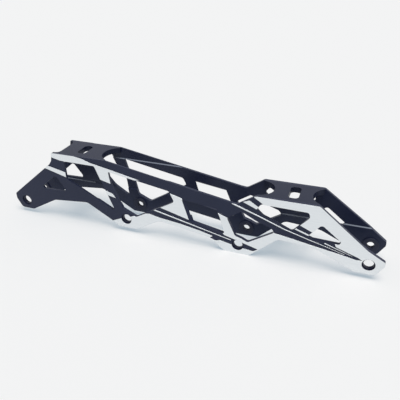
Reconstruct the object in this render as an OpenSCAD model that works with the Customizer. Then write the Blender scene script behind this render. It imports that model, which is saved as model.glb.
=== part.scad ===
// Bare inline speed-skate frame for three large wheels and one smaller wheel.
// Two pierced side rails stand either side of the wheels. A rear and a front mount deck
// join them, and every axle runs from a head bush in the right rail to a threaded insert
// in the left rail. Lengths are in millimetres. X runs forward, Z runs up.

/* [Axles] */
// Distance from the rear axle to the second axle
pitch_1 = 112; // [109:0.5:115]
// Distance from the second axle to the third axle
pitch_2 = 107; // [104:0.5:110]
// Distance from the third axle to the front axle
pitch_3 = 107; // [104:0.5:110]
// How far the third axle, which carries the smaller wheel, sits below the others
low_axle_drop = 5; // [3:0.5:6]
// Metal from an axle centre down to the flat foot of its lug
lug_drop = 9; // [8:0.5:11]
// Metal from the low axle centre down to the flat foot of its lug
low_lug_drop = 8.5; // [8:0.5:10]
// Reach of the rear lug behind the rear axle, and of the front lug ahead of the front axle
lug_reach = 12; // [11:0.5:14]

/* [Mounts] */
// Distance between the two mounting slots
mount_spacing = 195; // [192:0.5:198]
// Distance from the rear axle forward to the rear mounting slot
rear_mount_x = 66.5; // [64:0.5:69]
// Height of the rear mounting face above the axle line
rear_deck_z = 56.8; // [55:0.1:60]
// Height of the front mounting face above the axle line
front_deck_z = 45.3; // [43:0.1:45.4]
// Thickness of both mount decks
deck_t = 5; // [4:0.5:6.5]
// Width of the rear mounting slot, along the frame
rear_slot_w = 8.2; // [7:0.1:11]
// Length of the rear mounting slot, across the frame
rear_slot_len = 17; // [14:0.5:21]
// Width of the front mounting slot, along the frame
front_slot_w = 8.5; // [7:0.1:10]
// Length of the front mounting slot, across the frame
front_slot_len = 19; // [14:0.5:22]
// Corner radius of both mounting slots
slot_r = 3.2; // [1:0.1:3.4]
// Corner radius of the notch in the rear end of the rear deck
notch_r = 4.5; // [2:0.5:5]
// Reach of the rear deck behind its slot
rear_deck_back = 25.5; // [24:0.5:28]
// Reach of the rear deck ahead of its slot
rear_deck_fore = 29; // [26:0.5:31]
// Distance from the rear slot back to the notch in the rear deck
notch_back = 20; // [16:0.5:23]
// Reach of the front deck behind its slot
front_deck_back = 28; // [26:0.5:30]
// Reach of the front deck ahead of its slot
front_deck_fore = 22; // [20:0.5:24]
// Depth of the scoop in the front end of the rear deck
rear_scoop = 9; // [5:0.5:11]
// Depth of the scoop in the rear end of the front deck
hump_scoop = 11.5; // [8:0.5:12]
// Depth of the scoop in the front end of the front deck
nose_scoop = 7.2; // [5:0.2:10]
// Width of the flat tip that a scoop leaves beside each rail
scoop_tip = 1.1; // [0.8:0.1:2]

/* [Rails] */
// Width over the outer faces of both rails
frame_w = 33; // [31:0.5:36]
// Rail thickness above the upper ledge
wall_top = 1.8; // [1.7:0.1:2.1]
// Rail thickness between the two ledges
wall_mid = 2.6; // [2.4:0.1:2.9]
// Rail thickness below the lower ledge
wall_low = 3.4; // [3.2:0.1:3.8]
// Height of the upper inside ledge above the axle line
ledge_top_z = 45.6; // [45.5:0.1:47]
// Height of the lower inside ledge above the axle line
ledge_low_z = 15.1; // [12:0.1:18]
// Run of the slope at the rear edge of the window ahead of the middle strut
slope_w = 2.7; // [2:0.1:5]
// How much lower the top edge of that window lies on the outer face than on the inner one
lintel_drop = 2.8; // [1:0.1:4]
// Depth of the dark ground below the bright milled faces
relief_t = 0.4; // [0.2:0.05:0.6]
// Width of the thin bright lines on the dark ground, where they start
line_w = 1.3; // [0.9:0.1:1.6]
// Width of the short bright line at the nose, where it starts
short_line_w = 0.9; // [0.6:0.1:1.2]
// Width of the lines where they run out at the nose
line_end_w = 0.2; // [0.1:0.1:0.6]
// Height of the front brow of the right rail above the axle line
brow_right_z = 12.6; // [11:0.1:17]
// Height of the front brow of the left rail above the axle line
brow_left_z = 15.9; // [11:0.1:17]

/* [Axle fittings] */
// Outer diameter of the bushes and inserts
fitting_d = 10.4; // [10:0.1:12]
// Diameter of the flange inside the rail
flange_d = 13.5; // [12.5:0.1:15]
// Thickness of the flange that spaces the wheel from the rail
flange_t = 1; // [0.8:0.1:1.6]
// Bore of a head bush, which clears an axle 8 mm thick
bush_bore_d = 8.1; // [8:0.05:8.4]
// Bore of a threaded insert, at the crests of its M7 x 1 thread
insert_bore_d = 6.1; // [5.8:0.05:6.3]
// Depth of the seat for the axle head, below the outer face of the right rail
head_seat = 1.4; // [1:0.1:1.8]
// Radial gap between a pressed or pinned piece and its hole
press_gap = 0.02; // [0.01:0.01:0.05]

/* [Deck dowels] */
// Diameter of the dowels between a deck and a rail
dowel_d = 2.5; // [2:0.1:3]
// Distance from the rear slot back to the rear dowels of the rear deck
rear_dowel_back = 13; // [10:0.5:15]
// Distance from the rear slot forward to the front dowels of the rear deck
rear_dowel_fore = 17; // [10:0.5:20]
// Distance from the front slot back to the rear dowels of the front deck
front_dowel_back = 15; // [10:0.5:17]
// Distance from the front slot forward to the front dowels of the front deck
front_dowel_fore = 12; // [8:0.5:14]
// Depth of a dowel in the rail
dowel_in_rail = 1; // [0.6:0.1:1.2]
// Depth of a dowel in the deck
dowel_in_deck = 5; // [3:0.5:6]

/* [Hidden] */
$fn = 64;

// Overshoot of a cutting tool past the face it leaves
cut = 1;
// Straight steps in one rounded corner of an outline
corner_steps = 6;
// Share of an edge that the rounding at one of its ends may use
edge_share = 0.45;
// Bend below which a corner counts as a point on a straight edge
straight = 0.001;
// Place of the sloped window in the list of windows
sloped = 3;
// Distance from an edge of that window to where its slope starts
slope_in = 0.4;
// Least breadth of the struts beside the hump window
hump_strut = 2 * wall_low;

// Axle positions along the frame
x1 = 0;
x2 = x1 + pitch_1;
x3 = x2 + pitch_2;
x4 = x3 + pitch_3;
axles = [[x1, 0], [x2, 0], [x3, -low_axle_drop], [x4, 0]];
foot_z = -lug_drop;
low_foot_z = -low_axle_drop - low_lug_drop;

// Mounting slots along the frame
rm = rear_mount_x;
fm = rm + mount_spacing;
dr = rear_deck_z;
df = front_deck_z;

// Half widths from the middle plane to each inside and outside face
half_w = frame_w / 2;
half_top = half_w - wall_top;
half_mid = half_w - wall_mid;
half_low = half_w - wall_low;

// Deck ends along the frame
rear_deck_x = [rm - rear_deck_back, rm + rear_deck_fore];
front_deck_x = [fm - front_deck_back, fm + front_deck_fore];
dowel_rear_x = [rm - rear_dowel_back, rm + rear_dowel_fore];
dowel_front_x = [fm - front_dowel_back, fm + front_dowel_fore];

dark = [0.13, 0.13, 0.16];
bright = [0.84, 0.86, 0.87];
steel = [0.2, 0.2, 0.22];

// Places the frame over its own footprint, standing on the lowest lug
module stand() {
    translate([-(x1 + x4) / 2, 0, -low_foot_z]) children();
}

// Arc that rounds the corner at b, between its neighbours a and c, to radius r
function corner(a, b, c, r) =
    let (to_a = (a - b) / norm(a - b), to_c = (c - b) / norm(c - b),
         half = acos(max(-1, min(1, to_a * to_c))) / 2,
         reach = min(r / tan(half), edge_share * min(norm(a - b), norm(c - b))),
         rad = reach * tan(half),
         mid = b + (to_a + to_c) / norm(to_a + to_c) * rad / sin(half),
         p = b + to_a * reach - mid, q = b + to_c * reach - mid,
         from = atan2(p.y, p.x),
         turn = atan2(p.x * q.y - p.y * q.x, p * q))
    norm(to_a + to_c) < straight ? [b] :
    [for (i = [0:corner_steps]) mid + rad * [cos(from + turn * i / corner_steps),
                                             sin(from + turn * i / corner_steps)]];

// Outline through points [x, z, corner radius]
function rounded(pts) =
    let (n = len(pts), xy = [for (p = pts) [p.x, p.y]])
    [for (i = [0:n - 1]) each corner(xy[(i + n - 1) % n], xy[i], xy[(i + 1) % n], pts[i].z)];

// Ribbon along a row of points, of width w at the first and end_w at the last
function ribbon(pts, w, end_w) =
    let (n = len(pts),
         side = [for (i = [0:n - 1])
             let (d = pts[min(i + 1, n - 1)] - pts[max(i - 1, 0)])
             [-d.y, d.x] / norm(d) * (w + (end_w - w) * i / (n - 1)) / 2])
    concat([for (i = [0:n - 1]) pts[i] + side[i]],
           [for (i = [n - 1:-1:0]) pts[i] - side[i]]);

// Side outline of a rail, from the rear lug along the feet and back over the top
function rail_outline(brow_z) = rounded([
    [x1 - lug_reach, 6, 3],
    [x1 - lug_reach, 0, 4],
    [x1 - 7, foot_z, 4],
    [x1 + 6.5, foot_z, 3],
    [x1 + 35, 6.5, 8],
    [x2 - 40.5, 10.2, 8],
    [x2 - 7.5, foot_z, 3],
    [x2 + 10, foot_z, 4],
    [x2 + 34, 4.8, 10],
    [x3 - 25, -2.6, 5],
    [x3 - 12.5, low_foot_z, 3],
    [x3 + 10.5, low_foot_z, 4],
    [x3 + 34.5, 8.3, 7],
    [x4 - 42, 6, 20],
    [x4 - 10, foot_z, 4],
    [x4 + 6, foot_z, 4],
    [x4 + lug_reach, 1, 2.5],
    [x4 + lug_reach, 4.6, 1.5],
    [x4 - 2, brow_z, 16],
    [front_deck_x[1] + 0.5, df, 3],
    [front_deck_x[0] - 0.5, df, 4],
    [front_deck_x[0] - 16, df - 10.4, 6],
    [rear_deck_x[1], dr, 10],
    [rear_deck_x[0] - 0.5, dr, 1],
    [rear_deck_x[0] - 2.5, dr - 8.5, 3],
    [rear_deck_x[0] - 5.5, dr - 12.4, 3]]);

// Edges of the hump window: the height of its lower edge at x, and the place of its front edge at z
function hump_low_z(x) = df - 26.9 - 10 / 23.8 * (x - fm - 2.5);
function hump_front_x(z) = fm + 2.5 + 13.3 / 15.2 * (z - df + 26.9);
// Points of the windows beside the hump window, which leave a strut of hump_strut to it
function below_hump(x, z, r) = [x, min(z, hump_low_z(x) - hump_strut), r];
function ahead_of_hump(x, z, r) = [max(x, hump_front_x(z) + hump_strut), z, r];

// Windows through the right rail, from the rear to the front
windows = [
    [[x1 + 20.3, 17.3, 2], [x1 + 51.5, 18.2, 2.5], [x1 + 40, 33.6, 2.5]],
    [[rm - 14, dr - 6.6, 2.5], [rm + 18.2, dr - 6.8, 2],
     [x2 - 10.6, 5.4, 1.5], [rm - 14, 32.1, 1.5]],
    [[x2 - 13.7, 46.5, 1], [x3 - 62, 36.6, 4], [x3 - 57.6, 26.9, 2.5],
     [x2 + 10.5, 4.2, 2.5], [x2 - 2.6, 10.4, 3], [x2 - 12.4, 34.5, 8]],
    [[x3 - 51.9, 33.8, 2], [x3 - 20.6, 30.3, 3], [x3 - 16.1, 20, 9],
     [x3 - 11.6, 4, 1.2], [x3 - 44.7, 10.7, 2]],
    [[x3 - 9.8, 20.4, 2], below_hump(x3 + 2.8, 28.8, 2), below_hump(x3 + 15, 22.4, 12),
     below_hump(x3 + 28, 17.8, 3), below_hump(x3 + 31.2, 14.2, 2.5),
     [x3 + 8.8, -0.4, 2.5], [x3 + 3.4, 2.2, 3], [x3 - 2.4, 4, 2]],
    [[fm - 27.2, df - 11.6, 2], [fm - 23.5, df - 6.4, 3], [fm + 15, df - 7.1, 3],
     [fm + 15.8, df - 11.7, 3], [fm + 2.5, df - 26.9, 2.5], [fm - 14.5, df - 19.3, 20],
     [fm - 21.3, df - 16.9, 6]],
    [ahead_of_hump(x4 - 49, 16.6, 1), ahead_of_hump(x4 - 38.9, 29.2, 2.5), [x4 - 22.8, 16.4, 1.2],
     [x4 - 24.2, 13.7, 1.5], ahead_of_hump(x4 - 45.5, 14.4, 2)]];

// Windows through the left rail. The strut to its second lug leans further forward.
left_windows = [
    windows[0],
    [[rm - 16.3, dr - 6.6, 2.5], [rm + 18.2, dr - 6.8, 2], [x2 - 23.2, 40.5, 8], [x2 - 13.2, 26, 8],
     [x2 - 11.2, 6.8, 1.8], [x2 - 26.5, 16.6, 8], [x2 - 34.5, 26.2, 10], [rm - 16.3, 43, 1.5]],
    [[x2 - 13.7, 46.2, 1], [x3 - 61.4, 35.2, 3], [x3 - 58, 28.6, 2.5], [x2 + 11, 4.9, 2.5],
     [x2 - 1.4, 10.6, 3], [x2 - 4.1, 23.1, 8], [x2 - 10.8, 35.5, 8]],
    [[x3 - 51.9, 35.6, 2], [x3 - 20.6, 31.2, 3], windows[3][2], windows[3][3], windows[3][4]],
    for (i = [4:len(windows) - 1]) windows[i]];

// Top line of the lower pair of dark stripes, from the middle of the rail to the low lug
stripe_top = [[x3 - 73, 19.4], [x3 - 44.6, 11.6], [x3 - 12.1, 2.8], [x3 + 17.9, -5.6]];

// Bright milled faces. Parts of them that lie over a window or past the outline are cut away.
lands = [
    // Strip below the rear deck, with the strut that it runs down
    [[rm - 30, dr + 3], [rm - 3, dr + 3], [rm - 1.5, dr - 0.1], [rm + 5, dr - 1.1], [rm + 14.7, dr - 4.2],
     [rm + 34.5, dr - 8], [x2 + 17, 42.9], [x2, 40], [x2 - 10.5, 34.2], [x2 - 25, 38],
     [rm - 14, dr - 6.5], [rm - 17.5, dr - 6.4], [rm - 30, dr - 3.6]],
    // Diagonal stripe, on the rear strut and again on the next strut
    [[x1 + 26, 44.8], [x1 + 53, 38.9], [x1 + 59, 36], [x1 + 59, 32.1], [x1 + 26, 41.2]],
    [[x2 - 21, 27.7], [x2 - 11.2, 24.6], [x2 - 8.6, 20.7], [x2 - 18.5, 22.7]],
    // Foot of the second lug and the sliver ahead of it
    [[x2 - 18, -6.8], [x2 - 14.6, -4.4], [x2 - 5.5, -0.3], [x2, 0], [x2 + 5, 3.5], [x2 + 10.5, 6],
     [x2 + 19, 9.6], [x2 + 24, 10.4], [x2 + 34.7, 8.2], [x3 - 53, 5.9], [x3 - 34.2, 2.4],
     [x3 - 22.5, -0.6], [x3 - 25, -2.6], [x3 - 21, -8], [x2, -30]],
    // Strut between the third and fourth windows
    [[x3 - 69, 37.2], [x3 - 52.5, 32.7], [x3 - 50.1, 31.8], [x3 - 48.3, 24.9], [x3 - 43.9, 12.2],
     stripe_top[1], stripe_top[0], [x3 - 69, 30]],
    // Foot of the low lug
    [[x3 - 27, low_foot_z], [x3 - 24.5, -3], [x3 - 19.8, -4.8], [x3 - 16, -3.4], [x3 - 5.5, -5.6],
     [x3, -8], [x3 + 5, -7.5], [x3 + 14, -8.4], stripe_top[3], [x3 + 21, -12], [x3, -30]],
    // Strut behind the low axle, and the arm from there to the front lug
    [[x3 - 21, 25.1], [x3 - 8.5, 20.3], [x3 - 3, 9], [x3 + 9, 6], [x3 + 27, 16.8], [x3 + 31, 13.9],
     [x4 - 57.4, 10.9], [x4 - 42.7, 8.3], [x4 - 23.5, 5.1], [x4 - 9.8, 2.5], [x4 - 4.5, 2.9], [x4 + 20, 2.9],
     [x4 + 20, -20], [x3 + 18.5, -20], stripe_top[3], stripe_top[2], [x3 - 16, 8]],
    // Short stripe behind the hump
    [[fm - 38.8, df - 6.8], [fm - 33.3, df - 4.5], [fm - 24.5, df - 10.1], [fm - 27.2, df - 11.7]],
    // Hump and front panel
    [[fm - 30.5, df - 0.4], [fm - 30.5, df + 5], [fm + 30, df + 5], [x4 + 20, 14], [x4 + 20, 2.5],
     [x4 - 4.5, 2.5], [x4 - 8.6, 4.9], [x4 - 18.2, 8.3], [x4 - 26.3, 11.2], [x4 - 28, 15], [x4 - 42, 19.2],
     [fm + 8, df - 19.5], [fm + 0.5, df - 13.5], [fm - 20, df - 7.5]],
    // Thin lines
    ribbon([[x2 + 26, 16.2], [x3 - 6, -1.2]], line_w, line_w / 2),
    ribbon([[fm - 48, df - 9.7], [fm - 24, df - 18.2], [fm - 3.3, df - 26.1], [x4 - 48, 13.5],
            [x4 - 37, 10.6], [x4 - 19, 5.4]], line_w, line_end_w),
    ribbon([[fm + 3, df - 23], [x4 - 47.5, 17.3]], line_w, line_w),
    ribbon([[x4 - 35.5, 12.9], [x4 - 13, 5.2]], short_line_w, line_end_w)];

// Side view of a rail with every window but the sloped one
module rail_shape(brow_z, holes) {
    difference() {
        polygon(rail_outline(brow_z));
        for (i = [0:len(holes) - 1]) if (i != sloped) polygon(rounded(holes[i]));
    }
}

// Wedge that narrows the sloped window along its edge from a to b, by outer at the outer face
// of the rail and by inner at the inner one
module lean(a, b, outer, inner) {
    run = [b.x - a.x, b.y - a.y];
    past = 2 * cut * (inner - outer) / wall_low;
    translate([a.x, 0, a.y]) rotate([0, atan2(run.x, run.y), 0]) translate([0, 0, -norm(run)])
        linear_extrude(3 * norm(run))
            polygon([[-3 * slope_w, -half_w - 2 * cut], [outer - past, -half_w - 2 * cut],
                     [inner + past, -half_low + 2 * cut], [-3 * slope_w, -half_low + 2 * cut]]);
}

// Cut for the sloped window. Its rear edge leans in towards the inner face, its top edge leans out.
module sloped_window(pts) {
    difference() {
        translate([0, -half_low + cut, 0]) rotate([90, 0, 0])
            linear_extrude(wall_low + 2 * cut) polygon(rounded(pts));
        lean(pts[4], pts[0], slope_in, slope_in + slope_w);
        lean(pts[0], pts[1], slope_in + lintel_drop, slope_in);
    }
}

// Dark ground around the bright faces
module ground_shape() {
    difference() {
        translate([x1 - 2 * lug_reach, 2 * low_foot_z]) square([x4 + 4 * lug_reach, dr - 3 * low_foot_z]);
        for (l = lands) polygon(l);
    }
}

// Holes for the dowels of one deck, in the rail at -Y
module dowel_holes(xs, z, half, depth_out, depth_in) {
    for (x = xs) translate([x, -half + depth_in, z]) rotate([90, 0, 0])
        cylinder(d = dowel_d + 2 * press_gap, h = depth_in + depth_out);
}

// Clears the inside of a rail above its two ledges, which slope at 45 degrees
module inside_cut() {
    translate([x1 - 2 * lug_reach, 0, 0]) rotate([90, 0, 90]) linear_extrude(x4 + 4 * lug_reach)
        polygon([[cut - half_low, ledge_low_z - cut], [-half_mid, ledge_low_z + half_mid - half_low],
                 [-half_mid, ledge_top_z], [-half_top, ledge_top_z + half_top - half_mid],
                 [-half_top, 2 * dr], [cut - half_low, 2 * dr]]);
}

// One side rail, built at -Y. Its inside steps outwards twice towards the top.
module rail(brow_z, holes) {
    difference() {
        translate([0, -half_low, 0]) rotate([90, 0, 0]) linear_extrude(wall_low) rail_shape(brow_z, holes);
        sloped_window(holes[sloped]);
        inside_cut();
        translate([0, -half_w + relief_t, 0]) rotate([90, 0, 0]) linear_extrude(cut + relief_t) ground_shape();
        for (a = axles) translate([a.x, -half_low + cut, a.y]) rotate([90, 0, 0])
            cylinder(d = fitting_d + 2 * press_gap, h = wall_low + 2 * cut);
        dowel_holes(dowel_rear_x, dr - deck_t / 2, half_top, dowel_in_rail, cut);
        dowel_holes(dowel_front_x, df - deck_t / 2, half_mid, dowel_in_rail, cut);
    }
}

module right_rail() {
    color(bright) stand() rail(brow_right_z, windows);
}

module left_rail() {
    color(bright) stand() mirror([0, 1, 0]) rail(brow_left_z, left_windows);
}

// Round scoop of the given depth in the deck end at x. It opens towards +X, or -X if turned.
module scoop(x, depth, half, turned) {
    h = half - scoop_tip;
    r = (h * h + depth * depth) / (2 * depth);
    translate([x + (turned ? 1 : -1) * (depth - r), 0, -cut]) cylinder(r = r, h = deck_t + 2 * cut);
}

// Round-cornered notch in the deck end that faces -X, back to the given x
module notch(x, half) {
    h = half - scoop_tip;
    translate([0, 0, -cut]) linear_extrude(deck_t + 2 * cut) polygon(rounded(
        [[rear_deck_x[0] - notch_r, -h, 0], [x, -h, notch_r], [x, h, notch_r], [rear_deck_x[0] - notch_r, h, 0]]));
}

// Round-cornered slot of width w and length l across the deck at x
module slot(x, w, l) {
    h = deck_t + 2 * cut;
    in_w = w - 2 * slot_r;
    in_l = l - 2 * slot_r;
    translate([x - w / 2, -in_l / 2, -cut]) cube([w, in_l, h]);
    translate([x - in_w / 2, -l / 2, -cut]) cube([in_w, l, h]);
    for (i = [-1, 1], j = [-1, 1])
        translate([x + i * in_w / 2, j * in_l / 2, -cut]) cylinder(r = slot_r, h = h);
}

// Plate between the rails, less the cuts given as children and the dowel holes in its edges
module deck(ends, half, top_z, dowel_xs) {
    difference() {
        translate([0, 0, top_z - deck_t]) difference() {
            translate([ends[0], -half, 0]) cube([ends[1] - ends[0], 2 * half, deck_t]);
            children();
        }
        for (s = [0, 1]) mirror([0, s, 0])
            dowel_holes(dowel_xs, top_z - deck_t / 2, half, cut, dowel_in_deck);
    }
}

module rear_deck() {
    color(dark) stand() deck(rear_deck_x, half_top, dr, dowel_rear_x) {
        slot(rm, rear_slot_w, rear_slot_len);
        notch(rm - notch_back, half_top);
        scoop(rear_deck_x[1], rear_scoop, half_top, false);
    }
}

module front_deck() {
    color(dark) stand() deck(front_deck_x, half_mid, df, dowel_front_x) {
        slot(fm, front_slot_w, front_slot_len);
        scoop(front_deck_x[0], hump_scoop, half_mid, true);
        scoop(front_deck_x[1], nose_scoop, half_mid, false);
    }
}

// Flanged sleeve in the rail at -Y. Its flange bears on the inside of the rail.
module fitting(axle, bore_d, outer_half) {
    translate([axle.x, -half_low, axle.y]) rotate([90, 0, 0]) difference() {
        union() {
            cylinder(d = fitting_d, h = outer_half - half_low);
            translate([0, 0, -flange_t]) cylinder(d = flange_d, h = flange_t);
        }
        translate([0, 0, -flange_t - cut]) cylinder(d = bore_d, h = wall_low + flange_t + 2 * cut);
    }
}

// Sleeve that the axle head bears on, in the right rail
module axle_bush(i) {
    color(steel) stand() fitting(axles[i - 1], bush_bore_d, half_w - head_seat);
}

// Sleeve that the axle screws into, in the left rail
module axle_insert(i) {
    color(steel) stand() mirror([0, 1, 0]) fitting(axles[i - 1], insert_bore_d, half_w - relief_t);
}

// Dowels across the joints between one deck and both rails
module dowels(xs, z, half) {
    for (s = [0, 1]) mirror([0, s, 0]) for (x = xs)
        translate([x, -half + dowel_in_deck, z]) rotate([90, 0, 0])
            cylinder(d = dowel_d, h = dowel_in_deck + dowel_in_rail);
}

module rear_deck_dowels() {
    color(steel) stand() dowels(dowel_rear_x, dr - deck_t / 2, half_top);
}

module front_deck_dowels() {
    color(steel) stand() dowels(dowel_front_x, df - deck_t / 2, half_mid);
}

right_rail();
left_rail();
rear_deck();
front_deck();
axle_bush(1);  // axle_bush_1
axle_bush(2);  // axle_bush_2
axle_bush(3);  // axle_bush_3
axle_bush(4);  // axle_bush_4
axle_insert(1);  // axle_insert_1
axle_insert(2);  // axle_insert_2
axle_insert(3);  // axle_insert_3
axle_insert(4);  // axle_insert_4
rear_deck_dowels();
front_deck_dowels();
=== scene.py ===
"""Looks of a bare inline speed-skate frame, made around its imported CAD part.

The side rails and mount decks keep their CAD shapes and get finishes, which draw their broken
edges. The axle bushes and threaded inserts are surfaces of revolution that stand for their CAD nodes.
Everything is in metres in the frame of the part: X forward, Y to the left, Z up.
"""

import logging
import math
from dataclasses import dataclass, field
from enum import Enum
from typing import Any

import bpy
import numpy as np
from mathutils import Matrix, Vector


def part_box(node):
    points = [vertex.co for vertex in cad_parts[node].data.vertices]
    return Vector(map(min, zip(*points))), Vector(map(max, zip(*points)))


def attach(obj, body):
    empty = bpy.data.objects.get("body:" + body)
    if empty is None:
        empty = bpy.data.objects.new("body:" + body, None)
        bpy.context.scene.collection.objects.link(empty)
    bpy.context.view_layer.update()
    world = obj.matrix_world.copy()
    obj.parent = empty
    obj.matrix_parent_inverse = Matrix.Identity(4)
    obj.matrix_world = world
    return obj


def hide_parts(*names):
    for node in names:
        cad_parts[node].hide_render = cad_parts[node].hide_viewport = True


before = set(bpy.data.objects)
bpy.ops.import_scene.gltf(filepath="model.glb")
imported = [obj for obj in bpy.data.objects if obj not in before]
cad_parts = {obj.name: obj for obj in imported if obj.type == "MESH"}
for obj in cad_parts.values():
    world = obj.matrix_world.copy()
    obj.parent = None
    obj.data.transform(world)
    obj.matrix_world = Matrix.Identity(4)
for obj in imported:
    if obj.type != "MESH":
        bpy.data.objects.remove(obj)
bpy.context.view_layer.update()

LOG = logging.getLogger("skate_frame")
MM = 0.001
BODY = "root"
# Rays that the finish sends out at each spot to find a broken edge near it
EDGE_SAMPLES = 6
# Turned pieces are shaded sharp where two faces meet at more than this
SHARP_DEG = 38
WHITE = (1.0, 1.0, 1.0, 1.0)


class Side(Enum):
    """Side of the frame, as the sign of Y."""

    RIGHT = -1
    LEFT = 1


class Bore(Enum):
    """Inside of an axle fitting."""

    PLAIN = "plain"
    THREADED = "threaded"


def linear(colour: str) -> tuple[float, float, float, float]:
    """Turns an sRGB hex colour into linear RGBA.

    Args:
        colour: Six hex digits after a hash sign.

    Returns:
        Red, green, blue and an alpha of 1.
    """
    parts = [int(colour[i:i + 2], 16) / 255 for i in (1, 3, 5)]
    red, green, blue = [c / 12.92 if c <= 0.04045 else ((c + 0.055) / 1.055) ** 2.4 for c in parts]
    return red, green, blue, 1.0


def per_mm(size: float) -> float:
    """Gives the texture scale at which one feature has a given width.

    Args:
        size: Width of the feature, in mm.

    Returns:
        Features per metre.
    """
    return 1.0 / (size * MM)


def add_node(tree: bpy.types.NodeTree, kind: str, settings: dict[str, Any] | None = None,
             inputs: dict[str | int, Any] | None = None) -> bpy.types.Node:
    """Adds one node with its settings, values and links.

    Args:
        tree: Node tree of a material or of the world.
        kind: Blender's name of the node type.
        settings: Properties of the node.
        inputs: Input sockets by name or place. An output socket is linked in, other values are set.

    Returns:
        The new node.
    """
    node = tree.nodes.new(kind)
    for name, value in (settings or {}).items():
        setattr(node, name, value)
    for key, value in (inputs or {}).items():
        if isinstance(value, bpy.types.NodeSocket):
            tree.links.new(value, node.inputs[key])
        else:
            node.inputs[key].default_value = value
    return node


def add_math(tree: bpy.types.NodeTree, operation: str, *values: Any) -> bpy.types.NodeSocket:
    """Adds one sum on values or sockets.

    Args:
        tree: Node tree of a material or of the world.
        operation: Blender's name of the sum.
        values: Its inputs in order.

    Returns:
        The result.
    """
    return add_node(tree, "ShaderNodeMath", {"operation": operation}, dict(enumerate(values))).outputs[0]


def mix_colours(tree: bpy.types.NodeTree, share: bpy.types.NodeSocket, first: Any,
                second: Any) -> bpy.types.NodeSocket:
    """Adds a mix of two colours.

    Args:
        tree: Node tree of the material.
        share: How much of the second colour there is, from 0 to 1.
        first: Colour or socket at 0.
        second: Colour or socket at 1.

    Returns:
        The mixed colour.
    """
    return add_node(tree, "ShaderNodeMix", {"data_type": "RGBA"}, {0: share, 6: first, 7: second}).outputs[2]


def mix_values(tree: bpy.types.NodeTree, share: bpy.types.NodeSocket, first: Any,
               second: Any) -> bpy.types.NodeSocket:
    """Adds a mix of two values.

    Args:
        tree: Node tree of the material.
        share: How much of the second value there is, from 0 to 1.
        first: Value or socket at 0.
        second: Value or socket at 1.

    Returns:
        The mixed value.
    """
    return add_node(tree, "ShaderNodeMix", {"data_type": "FLOAT"}, {0: share, 2: first, 3: second}).outputs[0]


def spread(tree: bpy.types.NodeTree, pattern: bpy.types.NodeSocket, middle: float,
           reach: float) -> bpy.types.NodeSocket:
    """Adds a value that a pattern moves about its middle.

    Args:
        tree: Node tree of the material.
        pattern: Pattern from 0 to 1.
        middle: Value halfway.
        reach: How far the pattern moves it either way.

    Returns:
        The moved value.
    """
    return add_node(tree, "ShaderNodeMapRange", None,
                    {"Value": pattern, "To Min": middle - reach, "To Max": middle + reach}).outputs[0]


def add_surface(tree: bpy.types.NodeTree, inputs: dict[str, Any]) -> None:
    """Adds the shader of a material and its output.

    Args:
        tree: Node tree of the material.
        inputs: Inputs of the shader by name.
    """
    shader = add_node(tree, "ShaderNodeBsdfPrincipled", None, inputs)
    add_node(tree, "ShaderNodeOutputMaterial", None, {"Surface": shader.outputs[0]})


def new_material(name: str) -> tuple[bpy.types.Material, bpy.types.NodeTree]:
    """Makes an empty node material.

    Args:
        name: Name of the material.

    Returns:
        The material and its cleared node tree.
    """
    material = bpy.data.materials.new(name)
    material.use_nodes = True
    material.node_tree.nodes.clear()
    return material, material.node_tree


def mesh_from_grid(name: str, points: np.ndarray, uv_size: tuple[float, float]) -> bpy.types.Object:
    """Makes an object from a grid of points that closes on itself in both directions.

    Quad (i, j) joins points (i, j), (i + 1, j), (i + 1, j + 1) and (i, j + 1), with both indices
    taken round the grid. The winding is turned over if the enclosed volume comes out negative.

    Args:
        name: Name of the object.
        points: Array of shape (n, m, 3), in metres.
        uv_size: Length of the grid along its first and second index, given to the UV map.

    Returns:
        The object, linked to the scene.
    """
    n, m, _ = points.shape
    i, j = np.meshgrid(np.arange(n), np.arange(m), indexing="ij")
    corner_i = np.stack([i, i + 1, i + 1, i], -1)
    corner_j = np.stack([j, j, j + 1, j + 1], -1)
    faces = ((corner_i % n) * m + corner_j % m).reshape(-1, 4)
    uv = np.stack([corner_i / n * uv_size[0], corner_j / m * uv_size[1]], -1).reshape(-1, 4, 2)
    flat = points.reshape(-1, 3)
    a, b, c, d = (flat[faces[:, k]] for k in range(4))
    volume = np.einsum("ij,ij->i", a, np.cross(b, c) + np.cross(c, d)).sum()
    if volume < 0:
        faces, uv = faces[:, ::-1], uv[:, ::-1]
    mesh = bpy.data.meshes.new(name)
    mesh.from_pydata(flat.tolist(), [], faces.tolist())
    mesh.uv_layers.new(name="UVMap").data.foreach_set("uv", uv.astype(np.float32).ravel())
    mesh.shade_smooth()
    mesh.set_sharp_from_angle(angle=math.radians(SHARP_DEG))
    obj = bpy.data.objects.new(name, mesh)
    bpy.context.scene.collection.objects.link(obj)
    return obj


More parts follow.
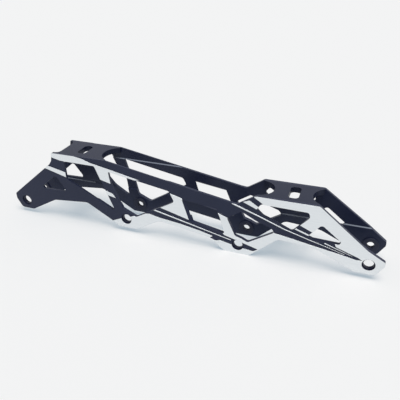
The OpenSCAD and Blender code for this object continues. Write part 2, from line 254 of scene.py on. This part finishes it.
@dataclass(frozen=True)
class BlackAnodised:
    """Aluminium, bead blasted and anodised black: a satin navy black with a fine even grain."""

    name: str = "aluminium_bead_blasted_black_anodised"
    colour: str = "#141A34"
    cloud: str = "#1A213D"
    sheen: str = "#EEF7FF"
    roughness: float = 0.42
    rough_reach: float = 0.07
    gloss: float = 0.36
    edge_mm: float = 0.3
    # The blast grain is about 0.1 mm wide. It is drawn ten times as coarse so that it shows.
    grain_mm: float = 1.1
    grain_depth_mm: float = 0.05
    grain_strength: float = 0.25
    cloud_mm: float = 26.0

    def surface(self, tree: bpy.types.NodeTree,
                place: bpy.types.NodeSocket) -> dict[str, bpy.types.NodeSocket]:
        """Adds the colour, roughness and height of the finish to a node tree.

        Args:
            tree: Node tree of the material.
            place: Object coordinates.

        Returns:
            Sockets named colour, roughness and height.
        """
        cloud = add_node(tree, "ShaderNodeTexNoise", {"noise_dimensions": "3D"},
                         {"Vector": place, "Scale": per_mm(self.cloud_mm), "Detail": 3.0})
        grain = add_node(tree, "ShaderNodeTexNoise", {"noise_dimensions": "3D"},
                         {"Vector": place, "Scale": per_mm(self.grain_mm), "Detail": 4.0, "Roughness": 0.7})
        colour = mix_colours(tree, cloud.outputs["Fac"], linear(self.colour), linear(self.cloud))
        rough = spread(tree, grain.outputs["Fac"], self.roughness, self.rough_reach)
        return {"colour": colour, "roughness": rough, "height": grain.outputs["Fac"]}

    def material(self) -> bpy.types.Material:
        """Makes the material of a piece that is black all over.

        Returns:
            The material.
        """
        material, tree = new_material(self.name)
        place = add_node(tree, "ShaderNodeTexCoord").outputs["Object"]
        black = self.surface(tree, place)
        edge = add_node(tree, "ShaderNodeBevel", {"samples": EDGE_SAMPLES}, {"Radius": self.edge_mm * MM})
        bump = add_node(tree, "ShaderNodeBump", None,
                        {"Height": black["height"], "Strength": self.grain_strength,
                         "Distance": self.grain_depth_mm * MM, "Normal": edge.outputs[0]})
        add_surface(tree, {"Base Color": black["colour"], "Roughness": black["roughness"],
                           "Specular IOR Level": self.gloss, "Specular Tint": linear(self.sheen),
                           "Normal": bump.outputs[0]})
        return material


@dataclass(frozen=True)
class DiamondCut:
    """Black anodised aluminium whose outermost faces were milled bright afterwards.

    The cut faces are bare metal with faint parallel cutter lines, and the rest stays satin black.
    The narrow ledges inside, which slope at 45 degrees, get a painted highlight: a lighter grey that stands
    in for the light they catch from above. The middle run of the lower ledge gets none and stays as black as
    the walls.
    """

    name: str = "aluminium_black_anodised_milled_bright"
    black: BlackAnodised = field(default_factory=BlackAnodised)
    bright: str = "#E9EDF0"
    bright_line: str = "#DDE2E5"
    # Lighter grey of the painted highlight on the inner ledges
    ledge: str = "#7B8290"
    roughness: float = 0.36
    rough_reach: float = 0.06
    # The outermost faces lie at 16.5 mm either side of the middle plane.
    cut_plane_mm: float = 16.44
    # Cutter lines are about 0.2 mm apart. They are drawn five times as coarse so that they show.
    line_mm: float = 1.0
    line_run_mm: float = 45.0
    line_lean_deg: float = -9.0
    line_depth_mm: float = 0.04
    line_strength: float = 0.25
    # How far the sideways part of a face's normal may be from that of a 45 degree ledge
    ledge_reach: float = 0.03
    # The run of the lower ledge that gets no painted highlight: its middle and half length along X, and its
    # greatest height
    no_highlight_run_mm: tuple[float, float, float] = (-20.0, 80.0, 45.0)

    def painted_highlight_mask(self, tree: bpy.types.NodeTree,
                   at: bpy.types.bpy_prop_collection) -> bpy.types.NodeSocket:
        """Adds a mask of the painted highlight, which lies on the ledges, told by their tilt.

        Args:
            tree: Node tree of the material.
            at: Object coordinates, as sockets X, Y and Z.

        Returns:
            1 where a ledge gets the painted highlight and 0 elsewhere.
        """
        facing = add_node(tree, "ShaderNodeNewGeometry").outputs["True Normal"]
        sideways = add_node(tree, "ShaderNodeSeparateXYZ", None, {0: facing}).outputs["Y"]
        tilt = add_math(tree, "ABSOLUTE", sideways)
        is_ledge = add_math(tree, "COMPARE", tilt, math.sqrt(0.5), self.ledge_reach)
        middle, half, top = (size * MM for size in self.no_highlight_run_mm)
        in_run = add_math(tree, "COMPARE", at["X"], middle, half)
        is_low = add_math(tree, "LESS_THAN", at["Z"], top)
        skips_highlight = add_math(tree, "MULTIPLY", in_run, is_low)
        return add_math(tree, "GREATER_THAN", is_ledge, skips_highlight)

    def material(self) -> bpy.types.Material:
        """Makes the material, which tells the cut faces by their distance from the middle plane.

        Returns:
            The material.
        """
        material, tree = new_material(self.name)
        place = add_node(tree, "ShaderNodeTexCoord").outputs["Object"]
        black = self.black.surface(tree, place)
        at = add_node(tree, "ShaderNodeSeparateXYZ", None, {0: place}).outputs
        distance = add_math(tree, "ABSOLUTE", at["Y"])
        is_cut = add_math(tree, "GREATER_THAN", distance, self.cut_plane_mm * MM)
        along = add_node(tree, "ShaderNodeMapping", None,
                         {"Vector": place, "Rotation": (0.0, math.radians(self.line_lean_deg), 0.0),
                          "Scale": (per_mm(self.line_run_mm), 0.0, per_mm(self.line_mm))})
        lines = add_node(tree, "ShaderNodeTexNoise", {"noise_dimensions": "3D"},
                         {"Vector": along.outputs[0], "Scale": 1.0, "Detail": 3.0, "Roughness": 0.6})
        silver = mix_colours(tree, lines.outputs["Fac"], linear(self.bright), linear(self.bright_line))
        silver_rough = spread(tree, lines.outputs["Fac"], self.roughness, self.rough_reach)
        # Painted highlight: the ledges get a lighter grey over the black.
        black_and_highlight = mix_colours(tree, self.painted_highlight_mask(tree, at), black["colour"], linear(self.ledge))
        colour = mix_colours(tree, is_cut, black_and_highlight, silver)
        rough = mix_values(tree, is_cut, black["roughness"], silver_rough)
        height = mix_values(tree, is_cut, black["height"], lines.outputs["Fac"])
        edge = add_node(tree, "ShaderNodeBevel", {"samples": EDGE_SAMPLES},
                        {"Radius": self.black.edge_mm * MM})
        bump = add_node(tree, "ShaderNodeBump", None,
                        {"Height": height, "Strength": self.line_strength,
                         "Distance": self.line_depth_mm * MM, "Normal": edge.outputs[0]})
        tint = mix_colours(tree, is_cut, linear(self.black.sheen), WHITE)
        add_surface(tree, {"Base Color": colour, "Metallic": is_cut, "Roughness": rough,
                           "Specular IOR Level": self.black.gloss, "Specular Tint": tint,
                           "Normal": bump.outputs[0]})
        return material


@dataclass(frozen=True)
class BlackPhosphatedSteel:
    """Steel, turned on a lathe and phosphated black: a dull coat over fine turned rings."""

    name: str = "steel_turned_black_phosphated"
    colour: str = "#131930"
    ring: str = "#181E38"
    roughness: float = 0.45
    gloss: float = 0.36
    rough_reach: float = 0.08
    # Turned rings are about 0.1 mm apart. They are drawn twice as coarse so that they show.
    ring_mm: float = 0.2
    ring_run_mm: float = 20.0
    ring_depth_mm: float = 0.02
    ring_strength: float = 0.2

    def material(self) -> bpy.types.Material:
        """Makes the material, whose rings lie across the second UV direction, in millimetres.

        Returns:
            The material.
        """
        material, tree = new_material(self.name)
        uv = add_node(tree, "ShaderNodeUVMap", {"uv_map": "UVMap"}).outputs[0]
        across = add_node(tree, "ShaderNodeMapping", None,
                          {"Vector": uv, "Scale": (1.0 / self.ring_run_mm, 1.0 / self.ring_mm, 1.0)})
        rings = add_node(tree, "ShaderNodeTexNoise", {"noise_dimensions": "2D"},
                         {"Vector": across.outputs[0], "Scale": 1.0, "Detail": 2.0})
        colour = mix_colours(tree, rings.outputs["Fac"], linear(self.colour), linear(self.ring))
        rough = spread(tree, rings.outputs["Fac"], self.roughness, self.rough_reach)
        bump = add_node(tree, "ShaderNodeBump", None,
                        {"Height": rings.outputs["Fac"], "Strength": self.ring_strength,
                         "Distance": self.ring_depth_mm * MM})
        add_surface(tree, {"Base Color": colour, "Roughness": rough,
                           "Specular IOR Level": self.gloss, "Normal": bump.outputs[0]})
        return material


@dataclass(frozen=True)
class GroundSteel:
    """Steel pin stock, ground: bright grey with fine scratches round the pin."""

    name: str = "steel_centreless_ground"
    colour: str = "#9DA0A4"
    scratch: str = "#B9BCBF"
    roughness: float = 0.28
    rough_reach: float = 0.06
    scratch_mm: float = 0.15
    scratch_run_mm: float = 4.0

    def material(self) -> bpy.types.Material:
        """Makes the material, whose scratches lie at one place along Y each.

        Returns:
            The material.
        """
        material, tree = new_material(self.name)
        place = add_node(tree, "ShaderNodeTexCoord").outputs["Object"]
        run = per_mm(self.scratch_run_mm)
        along = add_node(tree, "ShaderNodeMapping", None,
                         {"Vector": place, "Scale": (run, per_mm(self.scratch_mm), run)})
        lines = add_node(tree, "ShaderNodeTexNoise", {"noise_dimensions": "3D"},
                         {"Vector": along.outputs[0], "Scale": 1.0, "Detail": 2.0})
        colour = mix_colours(tree, lines.outputs["Fac"], linear(self.colour), linear(self.scratch))
        rough = spread(tree, lines.outputs["Fac"], self.roughness, self.rough_reach)
        add_surface(tree, {"Base Color": colour, "Metallic": 1.0, "Roughness": rough})
        return material


@dataclass(frozen=True)
class OpalTable:
    """Opal acrylic sheet of a light table, sanded dull: even white, lit from below, no reflection.

    The glow from below is cool and the light from above comes back warm. Both make a plain white,
    and where the object keeps the upper light off, the cool glow is left.
    """

    name: str = "acrylic_opal_sanded_lit_from_below"
    glow: str = "#91A4B1"
    upper: str = "#CEC1B6"

    def material(self) -> bpy.types.Material:
        """Makes the material as glow plus diffuse.

        Returns:
            The material.
        """
        material, tree = new_material(self.name)
        glow = add_node(tree, "ShaderNodeEmission", None, {"Color": linear(self.glow), "Strength": 1.0})
        flat = add_node(tree, "ShaderNodeBsdfDiffuse", None, {"Color": linear(self.upper)})
        white = add_node(tree, "ShaderNodeAddShader", None, {0: glow.outputs[0], 1: flat.outputs[0]})
        add_node(tree, "ShaderNodeOutputMaterial", None, {"Surface": white.outputs[0]})
        return material


@dataclass
class CadPiece:
    """A CAD node that keeps its shape and gets a finish."""

    node: str
    finish: bpy.types.Material

    def build(self) -> bpy.types.Object:
        """Dresses the node.

        Returns:
            The dressed node.
        """
        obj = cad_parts[self.node]
        for slot in obj.material_slots:
            slot.material = self.finish
        LOG.info("%s: %s", self.node, self.finish.name)
        return obj


@dataclass
class MachinedBlock(CadPiece):
    """A rail or a deck, milled from plate. Its finish draws the broken edges."""


@dataclass
class DowelSet(CadPiece):
    """Ground pins across the joints between one deck and both rails."""


@dataclass
class AxleFitting:
    """Flanged sleeve in a rail: a plain bush under an axle head, or an insert with an M7 x 1 thread."""

    number: int
    side: Side
    bore: Bore
    finish: bpy.types.Material
    flange_mm: float = 1.0
    flange_r_mm: float = 6.75
    body_r_mm: float = 5.2
    edge_mm: float = 0.2
    back_edge_mm: float = 0.02
    plain_r_mm: float = 4.05
    thread_pitch_mm: float = 1.0
    thread_root_r_mm: float = 3.5
    thread_crest_r_mm: float = 3.05
    # Shares of half a pitch that the flat crest and the flank take up
    crest_share: float = 0.2
    flank_share: float = 0.68
    countersink_r_mm: float = 3.15
    steps_round: int = 96
    steps_per_pitch: int = 14
    # Length of the closed profile for the UV map, in lengths of the sleeve
    profile_lengths: float = 4.0

    @property
    def node(self) -> str:
        """Names the CAD node that this piece stands for.

        Returns:
            The name of the node.
        """
        return f"axle_{'bush' if self.bore is Bore.PLAIN else 'insert'}_{self.number}"

    def axis(self) -> tuple[float, float]:
        """Finds the axle as the middle of the node's box.

        Returns:
            X and Z in metres.
        """
        low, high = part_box(self.node)
        return (low.x + high.x) / 2, (low.z + high.z) / 2

    def length_mm(self) -> float:
        """Measures the sleeve along the axle.

        Returns:
            Its length in mm.
        """
        low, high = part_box(self.node)
        return (high.y - low.y) / MM

    def inner_face_mm(self) -> float:
        """Measures from the middle plane to the flange face.

        Returns:
            The distance in mm.
        """
        low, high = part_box(self.node)
        return min(abs(low.y), abs(high.y)) / MM

    def outside(self, length: float, bore_r: float) -> np.ndarray:
        """Lays out the outside of the sleeve as radius and depth.

        The line starts on the flange face, runs over the flange, along the body and in over the end
        face. Every outer corner is cut at 45 degrees, by less at the back of the flange.

        Args:
            length: Length of the sleeve, in mm.
            bore_r: Radius where the two end faces meet the bore, in mm.

        Returns:
            Array of shape (k, 2).
        """
        edge, back = self.edge_mm, self.back_edge_mm
        return np.array([
            [bore_r, 0.0], [self.flange_r_mm - edge, 0.0], [self.flange_r_mm, edge],
            [self.flange_r_mm, self.flange_mm - back], [self.flange_r_mm - back, self.flange_mm],
            [self.body_r_mm, self.flange_mm], [self.body_r_mm, length - edge],
            [self.body_r_mm - edge, length], [bore_r, length]])

    def bore_radius(self, depth: np.ndarray, angle: np.ndarray, length: float) -> np.ndarray:
        """Works out the radius of the bore.

        A plain bore is a cylinder with a 45 degree edge at each end. A threaded bore adds a helix:
        its phase is depth over pitch plus the turn, and the radius rises from crest to root as a
        clipped triangle wave of that phase, opened by a countersink at each end.

        Args:
            depth: Distance from the flange face, in mm.
            angle: Turn about the axle, in radians.
            length: Length of the sleeve, in mm.

        Returns:
            Radius in mm, of the shape of depth and angle together.
        """
        to_end = np.minimum(depth, length - depth)
        if self.bore is Bore.PLAIN:
            plain = np.maximum(self.plain_r_mm, self.plain_r_mm + self.edge_mm - to_end)
            return plain + np.zeros_like(angle)
        phase = np.mod(depth / self.thread_pitch_mm + self.side.value * angle / (2 * np.pi), 1.0)
        wave = np.clip((np.abs(2 * phase - 1) - self.crest_share) / self.flank_share, 0.0, 1.0)
        thread = self.thread_crest_r_mm + (self.thread_root_r_mm - self.thread_crest_r_mm) * wave
        return np.maximum(thread, self.countersink_r_mm - to_end)

    def build(self) -> bpy.types.Object:
        """Turns the sleeve, dresses it and lets it stand for its CAD node.

        The surface is a closed profile carried round the axle: point (angle, k) lies at radius r
        and depth d of the profile, at x + r cos(angle), side * (inner face + d), z + r sin(angle).

        Returns:
            The dressed sleeve.
        """
        length = self.length_mm()
        x, z = self.axis()
        angle = np.linspace(0, 2 * np.pi, self.steps_round, endpoint=False)[:, None]
        rings = int(length / self.thread_pitch_mm * self.steps_per_pitch)
        depth_in = np.linspace(length, 0.0, rings + 2)[None, 1:-1]
        ends = self.bore_radius(np.array([[0.0]]), np.array([[0.0]]), length)
        shell = self.outside(length, float(ends[0, 0]))
        inner_r = self.bore_radius(depth_in, angle, length)
        outer_r = np.broadcast_to(shell[None, :, 0], (self.steps_round, len(shell)))
        radius = np.concatenate([outer_r, inner_r], 1) * MM
        depth = np.concatenate([shell[:, 1], depth_in[0]])[None, :] + np.zeros_like(angle)
        points = np.stack([x + radius * np.cos(angle),
                           self.side.value * (self.inner_face_mm() + depth) * MM,
                           z + radius * np.sin(angle)], -1)
        obj = mesh_from_grid(f"sleeve_{self.node}", points,
                             (2 * math.pi * self.body_r_mm, self.profile_lengths * length))
        obj.data.materials.append(self.finish)
        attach(obj, BODY)
        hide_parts(self.node)
        LOG.info("%s: %s bore, %.1f mm long", obj.name, self.bore.value, length)
        return obj


@dataclass
class Studio:
    """Pale table, even light and the camera at the viewing angle of the photograph."""

    table_m: float = 12.0
    table_gap_mm: float = 0.02
    pale: str = "#F4F4F4"
    sky: float = 0.3
    lamp: float = 2.26
    lamp_angle: float = 38.0
    lamp_turn: tuple[float, float, float] = (10.0, 12.0, 0.0)
    eye: tuple[float, float, float] = (0.1447, -0.3374, 0.2426)
    right: tuple[float, float, float] = (0.9379, 0.3465, -0.0178)
    forward: tuple[float, float, float] = (-0.3094, 0.8120, -0.4948)
    lens_mm: float = 42.17
    sensor_mm: float = 36.0
    near_m: float = 0.01

    def table(self) -> None:
        """Lays a flat square table just under the lowest lug."""
        half = self.table_m / 2
        side = np.array([-half, half])
        x, y = np.meshgrid(side, side)
        points = np.stack([x, y, np.full_like(x, -self.table_gap_mm * MM)], -1).reshape(-1, 3)
        mesh = bpy.data.meshes.new("table")
        mesh.from_pydata(points.tolist(), [], [[0, 1, 3, 2]])
        obj = bpy.data.objects.new("table", mesh)
        bpy.context.scene.collection.objects.link(obj)
        mesh.materials.append(OpalTable().material())

    def light(self) -> None:
        """Makes an even sky and one broad soft lamp. The eye and gloss see the sky as the pale table."""
        world = bpy.data.worlds.new("studio")
        bpy.context.scene.world = world
        world.use_nodes = True
        tree = world.node_tree
        tree.nodes.clear()
        path = add_node(tree, "ShaderNodeLightPath")
        seen = add_math(tree, "MAXIMUM", path.outputs["Is Camera Ray"], path.outputs["Is Glossy Ray"])
        seen = add_math(tree, "MAXIMUM", seen, path.outputs["Is Transmission Ray"])
        light = add_node(tree, "ShaderNodeBackground", None, {"Color": WHITE, "Strength": self.sky})
        pale = add_node(tree, "ShaderNodeBackground", None, {"Color": linear(self.pale)})
        both = add_node(tree, "ShaderNodeMixShader", None,
                        {0: seen, 1: light.outputs[0], 2: pale.outputs[0]})
        add_node(tree, "ShaderNodeOutputWorld", None, {"Surface": both.outputs[0]})
        lamp = bpy.data.lights.new("broad_lamp", "SUN")
        lamp.energy = self.lamp
        lamp.angle = math.radians(self.lamp_angle)
        obj = bpy.data.objects.new("broad_lamp", lamp)
        obj.rotation_euler = [math.radians(a) for a in self.lamp_turn]
        bpy.context.scene.collection.objects.link(obj)

    def camera(self) -> None:
        """Sets the camera from its place, its right hand and its line of sight."""
        data = bpy.data.cameras.new("camera")
        data.sensor_width = self.sensor_mm
        data.lens = self.lens_mm
        data.clip_start = self.near_m
        right = Vector(self.right).normalized()
        back = -Vector(self.forward).normalized()
        up = back.cross(right).normalized()
        right = up.cross(back)
        obj = bpy.data.objects.new("camera", data)
        turn = Matrix((right, up, back)).transposed().to_4x4()
        obj.matrix_world = Matrix.Translation(self.eye) @ turn
        bpy.context.scene.collection.objects.link(obj)
        bpy.context.scene.camera = obj

    def build(self) -> None:
        """Sets up the table, the light, the camera and a plain view transform."""
        self.camera()
        self.table()
        self.light()
        bpy.context.scene.view_settings.view_transform = "Standard"
        LOG.info("studio: table, sky, lamp and camera")


def main() -> None:
    """Builds the studio and every piece of the frame in order."""
    logging.basicConfig(level=logging.INFO, format="%(message)s")
    Studio().build()
    rail_finish = DiamondCut().material()
    # The decks take a darker copy of the rails' black, painted shade that tones down their lit tops.
    deck_black_painted_darker = BlackAnodised("aluminium_black_anodised_painted_darker", colour="#0F152C", cloud="#141A33",
                                gloss=0.28).material()
    steel = BlackPhosphatedSteel().material()
    pin = GroundSteel().material()
    for node in ("right_rail", "left_rail"):
        MachinedBlock(node, rail_finish).build()
    for node in ("rear_deck", "front_deck"):
        MachinedBlock(node, deck_black_painted_darker).build()
    for number in range(1, 5):
        AxleFitting(number, Side.RIGHT, Bore.PLAIN, steel).build()
        AxleFitting(number, Side.LEFT, Bore.THREADED, steel).build()
    for node in ("rear_deck_dowels", "front_deck_dowels"):
        DowelSet(node, pin).build()


if __name__ == "__main__":
    main()
